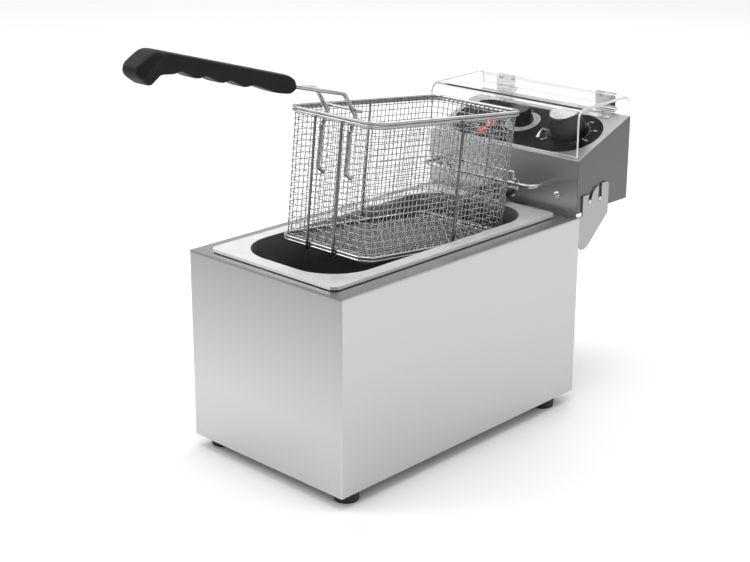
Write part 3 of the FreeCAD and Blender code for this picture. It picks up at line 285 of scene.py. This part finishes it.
def bright_wire(name, tone=0.72):
    material = new_material(name, (tone, tone, tone), 0.16, 1.0)
    surface = Surface(material)
    wear = surface.noise(260.0, detail=3.0)
    surface.set("Roughness", surface.spread(wear, 0.1, 0.26))
    surface.set("Base Color", surface.colors(surface.noise(90.0), [
        (0.3, (tone * 0.86, tone * 0.86, tone * 0.87)), (0.7, (tone * 1.05, tone * 1.05, tone * 1.04))]))
    surface.set("Normal", surface.bump(wear, 0.05, 0.0003))
    return material


def moulded_plastic(name, color, roughness=0.45, grain=1400.0, depth=0.12, specular=0.5):
    material = new_material(name, color, roughness, Specular_IOR_Level=specular)
    surface = Surface(material)
    texture = surface.noise(grain, detail=2.0)
    surface.set("Roughness", surface.spread(surface.noise(60.0), roughness - 0.06, roughness + 0.08))
    surface.set("Normal", surface.bump(texture, depth, 0.0002))
    return material


def paint(nodes, material):
    """Gives CAD nodes a material in all their slots."""
    for name in nodes:
        mesh = frame["nodes"][name].data
        if not mesh.materials:
            mesh.materials.append(material)
        for index in range(len(mesh.materials)):
            mesh.materials[index] = material


# ---------------------------------------------------------------- mesh helpers
def new_object(name, vertices, faces, material, smooth=True):
    mesh = bpy.data.meshes.new(name)
    mesh.from_pydata([tuple(v) for v in vertices], [], [tuple(f) for f in faces])
    mesh.materials.append(material)
    if smooth:
        mesh.polygons.foreach_set("use_smooth", [True] * len(mesh.polygons))
    mesh.validate()
    mesh.update()
    made = bpy.data.objects.new(name, mesh)
    bpy.context.scene.collection.objects.link(made)
    return made


class TubeSet:
    """Collects many round wires into one mesh."""

    def __init__(self, sides=6):
        self.sides, self.vertices, self.faces, self.count = sides, [], [], 0

    def add(self, points, normals, radius, closed=False):
        points, normals = np.asarray(points, float), np.asarray(normals, float)
        if closed:
            ahead, behind = np.roll(points, -1, 0), np.roll(points, 1, 0)
        else:
            ahead, behind = np.vstack([points[1:], points[-1:]]), np.vstack([points[:1], points[:-1]])
        tangent = ahead - behind
        tangent /= np.linalg.norm(tangent, axis=1)[:, None]
        side = np.cross(tangent, normals)
        side /= np.linalg.norm(side, axis=1)[:, None]
        up = np.cross(side, tangent)
        sides, rings = self.sides, len(points)
        for index in range(sides):
            angle = 2 * math.pi * index / sides
            self.vertices.append(points + radius * (math.cos(angle) * up + math.sin(angle) * side))
        spans = rings if closed else rings - 1
        for ring in range(spans):
            following = (ring + 1) % rings
            for index in range(sides):
                across = (index + 1) % sides
                self.faces.append((self.count + index * rings + ring, self.count + across * rings + ring,
                                   self.count + across * rings + following,
                                   self.count + index * rings + following))
        if not closed:
            first = [self.count + index * rings for index in range(sides)]
            self.faces.append(tuple(first[::-1]))
            self.faces.append(tuple(corner + rings - 1 for corner in first))
        self.count += sides * rings

    def build(self, name, material):
        return new_object(name, np.vstack(self.vertices), self.faces, material)


# ---------------------------------------------------------------- basket weave
BASKET_PITCH = math.radians(6)
BASKET_ORIGIN = Vector((0, -55.7, 329.7)) * MM
BASKET_TURN = Matrix.Translation(BASKET_ORIGIN) @ Matrix.Rotation(-BASKET_PITCH, 4, "X")
BASKET_HALF, BASKET_LENGTH, BASKET_DEPTH, BASKET_DRAFT = 57.5, 211.0, 126.0, 6.5
WALL_INSET, WALL_CORNER = 1.9, 12.0
MESH_PITCH, MESH_WIRE = 5.7, 0.42


def wall_outline(depth):
    """Segments of the wall's outline at a depth: straight runs and corners, as functions of 0..1."""
    half = BASKET_HALF - WALL_INSET
    front, rear = WALL_INSET, BASKET_LENGTH - BASKET_DRAFT * depth / BASKET_DEPTH - WALL_INSET
    r = WALL_CORNER
    corners = [((half - r, front + r), -90), ((half - r, rear - r), 0), ((-half + r, rear - r), 90),
               ((-half + r, front + r), 180)]
    return corners, r


def wall_point(position, depth):
    """A point on the wall and its outward normal; position runs 0..8 over four runs and four corners."""
    corners, r = wall_outline(depth)
    segment, share = int(position) % 8, position - int(position)
    index = segment // 2
    center, start = corners[index]
    if segment % 2 == 0:
        before, before_start = corners[index - 1]
        angle = math.radians(start)
        a = Vector((before[0] + r * math.cos(angle), before[1] + r * math.sin(angle)))
        b = Vector((center[0] + r * math.cos(angle), center[1] + r * math.sin(angle)))
        point, normal = a.lerp(b, share), Vector((math.cos(angle), math.sin(angle)))
    else:
        angle = math.radians(start + 90 * share)
        normal = Vector((math.cos(angle), math.sin(angle)))
        point = Vector(center) + r * normal
    return Vector((point.x, point.y, -depth)), Vector((normal.x, normal.y, 0))


def wall_stations():
    """Positions of the upright wires round the wall, about one mesh pitch apart."""
    corners, r = wall_outline(0)
    width = 2 * (BASKET_HALF - WALL_INSET - r)
    length = corners[1][0][1] - corners[0][0][1]
    stations = []
    for segment in range(8):
        run = (width, 0.5 * math.pi * r, length, 0.5 * math.pi * r)[segment % 4]
        count = round(run / MESH_PITCH)
        stations += [segment + step / count for step in range(count)]
    return stations


def make_weave(wire):
    stations = wall_stations()
    rows = round(BASKET_DEPTH / MESH_PITCH)
    depths = [BASKET_DEPTH * row / rows for row in range(rows + 1)]
    jitter = random.Random(11)
    tubes = TubeSet(6)
    for number, station in enumerate(stations):
        points, normals = [], []
        lean = jitter.uniform(-0.25, 0.25) * MM
        for row in range(2 * rows + 1):
            depth = BASKET_DEPTH * row / (2 * rows)
            point, normal = wall_point(station, depth)
            wave = math.cos(math.pi * (row / 2 + number)) * MESH_WIRE
            along = Vector((-normal.y, normal.x, 0))
            points.append((point + normal * wave) * MM + along * lean * math.sin(3 * depth / BASKET_DEPTH))
            normals.append(normal)
        tubes.add(points, normals, MESH_WIRE * MM)
    for row, depth in enumerate(depths):
        points, normals = [], []
        shift = jitter.uniform(-0.3, 0.3)
        for number in range(2 * len(stations)):
            near, share = number // 2, number % 2
            here = stations[near]
            ahead = stations[near + 1] if near + 1 < len(stations) else 8.0
            position = here + (ahead - here) * 0.5 * share
            point, normal = wall_point(position, depth)
            wave = -math.cos(math.pi * (number / 2 + row)) * MESH_WIRE
            sway = Vector((0, 0, shift * math.sin(position * 2.1 + row)))
            points.append((point + normal * wave + sway) * MM)
            normals.append(normal)
        tubes.add(points, normals, MESH_WIRE * MM, closed=True)
    wall = tubes.build("basket_weave_wall", wire)
    wall.data.transform(BASKET_TURN)
    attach(wall, "basket")
    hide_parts("basket_mesh_wall")

    floor_tubes = TubeSet(6)
    inset = WALL_INSET + 0.3
    half, front = BASKET_HALF - inset, inset
    rear = BASKET_LENGTH - BASKET_DRAFT - inset
    level = -BASKET_DEPTH + MESH_WIRE * 1.2

    def cutback(offset):
        """How far a floor wire stops short of the outline because of the rounded corners."""
        gap = WALL_CORNER - offset
        return WALL_CORNER - math.sqrt(max(0.0, WALL_CORNER ** 2 - gap ** 2)) if gap > 0 else 0.0

    def grid(low, high):
        count = round((high - low) / MESH_PITCH)
        return [low + (high - low) * step / count for step in range(count + 1)]

    def floor_wire(across, start, stop, stations, sign, along_x):
        """One wire over the stations of the wires it crosses, up at one and down at the next."""
        points = []
        pitch = stations[1] - stations[0]
        marks = sorted({start, stop} | {m for k in stations for m in (k, k + pitch / 2) if start < m < stop})
        for mark in marks:
            wave = MESH_WIRE * sign * math.cos(math.pi * (mark - stations[0]) / pitch)
            points.append((mark, across, level + wave) if along_x else (across, mark, level + wave))
        floor_tubes.add([Vector(point) * MM for point in points], [(0, 0, 1)] * len(points), MESH_WIRE * MM)

    columns, rows = grid(-half, half), grid(front, rear)
    for i, x in enumerate(columns):
        back = cutback(half - abs(x))
        floor_wire(x, front + back, rear - back, rows, (-1) ** i, False)
    for j, y in enumerate(rows):
        back = cutback(min(y - front, rear - y))
        floor_wire(y, -half + back, half - back, columns, -(-1) ** j, True)
    floor = floor_tubes.build("basket_weave_floor", wire)
    floor.data.transform(BASKET_TURN)
    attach(floor, "basket")
    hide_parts("basket_mesh_floor")


# ---------------------------------------------------------------- grip
GRIP_TURN = (BASKET_TURN @ Matrix.Translation(Vector((0, -66, 31.3)) * MM)
             @ Matrix.Rotation(math.radians(-9.9), 4, "X"))
GRIP_HALF_WIDTH, GRIP_HALF_DEPTH = 11.0, 8.7


def rounded_corner(before, corner, after, radius, steps=6):
    """Points along the tangent arc that replaces a corner."""
    corner = Vector(corner)
    back, onward = (Vector(before) - corner).normalized(), (Vector(after) - corner).normalized()
    half_angle = back.angle(onward) / 2
    reach = radius / math.tan(half_angle)
    center = corner + (back + onward).normalized() * (radius / math.sin(half_angle))
    spokes = [corner + (back * reach).lerp(onward * reach, step / steps) - center
              for step in range(steps + 1)]
    return [tuple(center + spoke.normalized() * radius) for spoke in spokes]


def grip_outline():
    """The grip from the side, as (along, above): flat top, slanted end, heel and four finger hollows."""
    points = [(-7, -7.7), (-13, -2), (-9, 5.7), (0, 8.7)]
    shoulder, tip, heel = (150, 8.7), (170.5, -12.7), (148, -22)
    points += rounded_corner((0, 8.7), shoulder, tip, 14) + rounded_corner(shoulder, tip, heel, 7.5)
    points += rounded_corner(tip, heel, (139, -10.6), 4) + [(139, -10.6)]
    lows = [(127 - 27 * index, -8.9) for index in range(4)]
    crests = [(119.5 - 27 * index, -5.6) for index in range(4)]
    for low, crest in zip(lows, crests):
        for point in (low, crest):
            start = points[-1]
            for step in range(1, 7):
                share = step / 6
                ease = 0.5 - 0.5 * math.cos(math.pi * share)
                points.append((start[0] + (point[0] - start[0]) * share,
                               start[1] + (point[1] - start[1]) * ease))
    points.append((9, -8.9))
    return points


def solid_between(mesh, outline, x_low, x_high):
    low = [mesh.verts.new((x_low, -a, h)) for a, h in outline]
    high = [mesh.verts.new((x_high, -a, h)) for a, h in outline]
    mesh.faces.new(low[::-1])
    mesh.faces.new(high)
    for index in range(len(outline)):
        following = (index + 1) % len(outline)
        mesh.faces.new((low[index], low[following], high[following], high[index]))


def make_grip(material):
    """The prism and its thumb ridges, fused by a fine voxel remesh and smoothed like a moulding."""
    mesh = bmesh.new()
    solid_between(mesh, grip_outline(), -GRIP_HALF_WIDTH, GRIP_HALF_WIDTH)
    ridge = [(141, 5.5), (144.5, 7), (152.5, -2.5), (160, -15.5), (157, -17.5), (149, -4.5)]
    for side in (-1, 1):
        low, high = sorted((side * (GRIP_HALF_WIDTH - 1), side * (GRIP_HALF_WIDTH + 2.6)))
        solid_between(mesh, ridge, low, high)
    bmesh.ops.recalc_face_normals(mesh, faces=mesh.faces)
    data = bpy.data.meshes.new("grip_blank")
    mesh.to_mesh(data)
    mesh.free()
    blank = bpy.data.objects.new("grip_blank", data)
    bpy.context.scene.collection.objects.link(blank)
    fuse = blank.modifiers.new("fuse", "REMESH")
    fuse.mode, fuse.voxel_size = "VOXEL", 1.0
    soften = blank.modifiers.new("soften", "SMOOTH")
    soften.factor, soften.iterations = 0.5, 55
    final = bpy.data.meshes.new_from_object(blank.evaluated_get(bpy.context.evaluated_depsgraph_get()))
    bpy.data.objects.remove(blank)
    final.transform(GRIP_TURN @ Matrix.Diagonal((MM, MM, MM, 1)))
    final.materials.append(material)
    final.polygons.foreach_set("use_smooth", [True] * len(final.polygons))
    grip = bpy.data.objects.new("moulded_grip", final)
    bpy.context.scene.collection.objects.link(grip)
    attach(grip, "basket")
    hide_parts("handle_grip")


# ---------------------------------------------------------------- splash cover
def cover_profile():
    """The sheet's section as an outer and an inner line of (y, z), front edge first."""
    front, rear, bottom, rear_bottom = 191.0, 281.0, 261.0, 296.0
    top_front, top_rear, thick, bend = 309.5, 312.0, 3.0, 10.0
    tilt = math.atan2(top_rear - top_front, rear - front)
    steps, step_off = 14, 0.5
    outer, inner = [(front, bottom)], [(front + thick, bottom)]

    def flat_step(center, angle, along):
        """A point just off a bend's end, so that smooth shading stays inside the bend."""
        shift = (along * math.sin(angle) * step_off, -along * math.cos(angle) * step_off)
        for line, radius in ((outer, bend), (inner, bend - thick)):
            line.append((center[0] + radius * math.cos(angle) + shift[0],
                         center[1] + radius * math.sin(angle) + shift[1]))

    for center, start, stop in (((front + bend, top_front + 0.3 - bend), math.pi, math.pi / 2 + tilt),
                                ((rear - bend, top_rear - 0.3 - bend), math.pi / 2 + tilt, 0.0)):
        flat_step(center, start, -1)
        for step in range(steps + 1):
            angle = start + (stop - start) * step / steps
            for line, radius in ((outer, bend), (inner, bend - thick)):
                line.append((center[0] + radius * math.cos(angle), center[1] + radius * math.sin(angle)))
        flat_step(center, stop, 1)
    outer.append((rear, rear_bottom))
    inner.append((rear - thick, rear_bottom))
    return outer, inner


COVER_CREASE = math.radians(20)
COVER_HALF_WIDTH, COVER_EDGE_BEVEL = 96.5, 0.3


def make_cover(clear_material, edge_material):
    """The bent sheet, clear on its faces and frosted on its cut edges, with shading split at corners."""
    outer, inner = cover_profile()
    mesh = bmesh.new()
    rings = []
    for x in (-COVER_HALF_WIDTH, COVER_HALF_WIDTH):
        rings.append(([mesh.verts.new((x, y, z)) for y, z in outer],
                      [mesh.verts.new((x, y, z)) for y, z in inner]))
    (left_out, left_in), (right_out, right_in) = rings
    last = len(outer) - 1
    edges = []
    for index in range(last):
        mesh.faces.new((left_out[index], left_out[index + 1], right_out[index + 1], right_out[index]))
        mesh.faces.new((left_in[index], right_in[index], right_in[index + 1], left_in[index + 1]))
        for out_line, in_line in rings:
            edges.append(mesh.faces.new((out_line[index], in_line[index], in_line[index + 1],
                                         out_line[index + 1])))
    for index in (0, last):
        edges.append(mesh.faces.new((left_out[index], right_out[index], right_in[index], left_in[index])))
    for face in mesh.faces:
        face.smooth = face not in edges
    for face in edges:
        face.material_index = 1
    bmesh.ops.recalc_face_normals(mesh, faces=mesh.faces)
    sharp = [edge for edge in mesh.edges if len({face.material_index for face in edge.link_faces}) > 1]
    bmesh.ops.bevel(mesh, geom=sharp, offset=COVER_EDGE_BEVEL, segments=1, affect="EDGES", material=1)
    for edge in mesh.edges:
        edge.smooth = edge.calc_face_angle(0) < COVER_CREASE
    data = bpy.data.meshes.new("clear_splash_cover")
    mesh.to_mesh(data)
    mesh.free()
    data.transform(Matrix.Diagonal((MM, MM, MM, 1)))
    data.materials.append(clear_material)
    data.materials.append(edge_material)
    cover = bpy.data.objects.new("clear_splash_cover", data)
    bpy.context.scene.collection.objects.link(cover)
    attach(cover, "cover")
    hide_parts("splash_cover")


# ---------------------------------------------------------------- dial printing on the sloped top
SLOPE_EDGE = Vector((0, 193, 257.5))
SLOPE_UP = Vector((0, 87, 32.5)).normalized()
SLOPE_NORMAL = Vector((0, -32.5, 87)).normalized()
THERMOSTAT, TIMER = (55.0, 43.0), (-6.0, 46.0)


def on_slope(x, up, above):
    return (SLOPE_EDGE + Vector((x, 0, 0)) + SLOPE_UP * up + SLOPE_NORMAL * above) * MM


class Print:
    """Flat raised ink shapes on the sloped top, gathered into one mesh."""

    def __init__(self, above, thick=0.06):
        self.above, self.thick, self.vertices, self.faces = above, thick, [], []

    def polygon(self, points):
        first, count = len(self.vertices), len(points)
        for above in (self.above, self.above + self.thick):
            self.vertices += [on_slope(x, up, above) for x, up in points]
        self.faces.append(tuple(range(first + count, first + 2 * count)))
        for index in range(count):
            following = (index + 1) % count
            self.faces.append((first + index, first + following, first + count + following,
                               first + count + index))

    def ray(self, center, angle, near, far, width):
        angle = math.radians(angle)
        out, side = Vector((math.cos(angle), math.sin(angle))), Vector((-math.sin(angle), math.cos(angle)))
        middle = Vector(center)
        corners = [middle + out * near - side * width / 2, middle + out * far - side * width / 2,
                   middle + out * far + side * width / 2, middle + out * near + side * width / 2]
        self.polygon([tuple(corner) for corner in corners])

    def band(self, center, start, stop, radius, width_start, width_stop, steps=24):
        """An arc whose width grows from one end to the other."""
        inner, outer = [], []
        for step in range(steps + 1):
            share = step / steps
            angle = math.radians(start + (stop - start) * share)
            half = (width_start + (width_stop - width_start) * share) / 2
            for line, at in ((inner, radius - half), (outer, radius + half)):
                line.append((center[0] + at * math.cos(angle), center[1] + at * math.sin(angle)))
        for index in range(steps):
            self.polygon([inner[index], outer[index], outer[index + 1], inner[index + 1]])

    def number(self, text, center, angle, radius, size):
        """A numeral at an angle round a knob, standing upright on the slope."""
        curve = bpy.data.curves.new("numeral", "FONT")
        curve.body, curve.size, curve.align_x, curve.align_y = text, size, "CENTER", "CENTER"
        holder = bpy.data.objects.new("numeral", curve)
        flat = bpy.data.meshes.new_from_object(holder)
        first = len(self.vertices)
        angle = math.radians(angle)
        x, up = center[0] + radius * math.cos(angle), center[1] + radius * math.sin(angle)
        self.vertices += [on_slope(x + v.co.x, up + v.co.y, self.above + self.thick) for v in flat.vertices]
        self.faces += [tuple(first + index for index in face.vertices) for face in flat.polygons]
        bpy.data.objects.remove(holder)

    def build(self, name, material, slot):
        made = new_object(name, self.vertices, self.faces, material, smooth=False)
        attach(made, "head")


def make_printing(white_ink, black_ink):
    """Generic marks: a thermostat scale in white on the facing, a minutes scale in black on the disc."""
    white = Print(0.44)
    for index in range(28):
        angle = 225 - index * 10
        long_mark = index % 4 == 0
        white.ray(THERMOSTAT, angle, 22.0, 24.4 if long_mark else 23.3, 0.7 if long_mark else 0.45)
    for index, text in enumerate(("60", "80", "100", "120", "140", "160", "180")):
        white.number(text, THERMOSTAT, 225 - index * 40, 27.6, 3.6)
    white.band(THERMOSTAT, 184, 214, 31.5, 0.5, 3.6)
    white.ray(THERMOSTAT, 182, 30.4, 32.6, 0.6)
    white.band(TIMER, 95, 265, 22.0, 0.4, 0.4)
    for index in range(3):
        white.ray((-60, 26 + index * 16), 0, 0, 10 - 2 * index, 0.9)
    white.build("label_printing", white_ink, "dial_grey")
    black = Print(1.02)
    for index in range(31):
        angle = 90 - index * 9.7
        black.ray(TIMER, angle, 14.2, 17.8 if index % 5 == 0 else 16.2, 0.55 if index % 5 == 0 else 0.35)
    for index, text in enumerate(("0", "5", "10", "15", "20", "25")):
        black.number(text, TIMER, 84 - index * 48.5, 16.2, 2.8)
    black.build("timer_printing", black_ink, "label_black")


# ---------------------------------------------------------------- build
bpy.context.scene.view_settings.view_transform = "Standard"
make_camera()
make_stage()
housing_steel = brushed_steel("housing_steel", 0.55, 0.3, depth=0.001, patch=0.02, streaks=0.008)
# Painted shade: the housing's top ring, above z 0.1985 m, is darkened to 0.62 of its colour.
paint_shade_along(housing_steel, "Z", 0.1965, 0.1985, 0.62)
# Painted shade: the housing's front panel darkens towards its top edge, down to 0.6 at z 0.199 m.
paint_front_shade(housing_steel, -0.144, 0.07, 0.199, 0.6)
head_steel = brushed_steel("head_steel", 0.4, 0.4, depth=0.004)
# Painted shade: the head's side walls, beyond 0.098 m either side, are darkened to 0.42 of their colour.
paint_shade_along(head_steel, "X", 0.0975, 0.098, 0.42, mirrored=True)
plate_steel = brushed_steel("plate_steel", 0.4, 0.3, depth=0.006)
tank_steel = brushed_steel("tank_steel", 0.8, 0.42, grain=(60, 60, 60), depth=0.008)
# Painted shade: the tank's steel darkens from the rim down into the deep well, to 0.4 of its colour.
paint_shade_along(tank_steel, "Z", 0.2022, 0.165, 0.4)
mesh_wire = bright_wire("mesh_wire", 0.4)
frame_wire = bright_wire("frame_wire", 0.44)
# Painted shade: the same chrome as the frame wires, made much darker to stand in for reflected dark
# surroundings.
chrome_wire_painted_dark = bright_wire("chrome_wire_painted_dark", 0.16)
fastener = bright_wire("fastener_steel", 0.6)
black = moulded_plastic("black_plastic", (0.006, 0.006, 0.007), 0.16, 1400.0, 0.03)
grip_black = moulded_plastic("grip_black", (0.005, 0.005, 0.0055), 0.5, 900.0, 0.2, specular=0.2)
rubber = moulded_plastic("foot_rubber", (0.014, 0.014, 0.014), 0.6, 700.0, 0.3)
label_black = moulded_plastic("label_black", (0.004, 0.004, 0.004), 0.35, 300.0, 0.02, specular=0.05)
white_ink = moulded_plastic("white_ink", (0.75, 0.75, 0.74), 0.5, 500.0, 0.05)
black_ink = moulded_plastic("black_ink", (0.03, 0.03, 0.03), 0.5, 500.0, 0.05)
grey_disc = moulded_plastic("dial_grey", (0.33, 0.34, 0.34), 0.35)
cap_metal = spun_metal("cap_aluminium", 0.57)
amber = lamp_lens("lamp_amber", (1.0, 0.22, 0.01), 0.35)
red = lamp_lens("lamp_red", (0.8, 0.08, 0.05), 0.15)
ceramic = moulded_plastic("terminal_ceramic", (0.8, 0.79, 0.75), 0.4)
lead = moulded_plastic("lead_cover", (0.6, 0.57, 0.5), 0.8)
reset = moulded_plastic("reset_red", (0.55, 0.03, 0.02), 0.3)
sheath = brushed_steel("element_sheath", 0.16, 0.35, grain=(200, 200, 200))
clear = worn_sheet("clear_sheet", (1.0, 1.0, 1.0), 0.005, 1.0, 1.2)
clear_edge = worn_sheet("clear_sheet_edge", (0.95, 0.96, 0.97), 0.35, 0.35, 1.3)

MATERIALS = {"brushed_steel": housing_steel, "tank_steel": tank_steel, "rubber": rubber,
             "fastener_steel": fastener, "chromed_wire": frame_wire, "black_plastic": black,
             "label_black": label_black, "knob_cap": cap_metal, "dial_grey": grey_disc,
             "lamp_amber": amber, "lamp_red": red, "reset_red": reset, "ceramic": ceramic,
             "wire_cover": lead, "element_steel": sheath, "clear_cover": clear}
for part in frame["record"]["subparts"]:
    paint([part["node"]], MATERIALS[part["material_slot"]])
paint(["head_shell"], head_steel)
paint(["left_hook_plate", "right_hook_plate"], plate_steel)
# The long and cross wires get the chrome copy that is painted dark for shade.
paint(["basket_long_wires", "basket_cross_wire"], chrome_wire_painted_dark)
make_weave(mesh_wire)
make_grip(grip_black)
make_cover(clear, clear_edge)
make_printing(white_ink, black_ink)
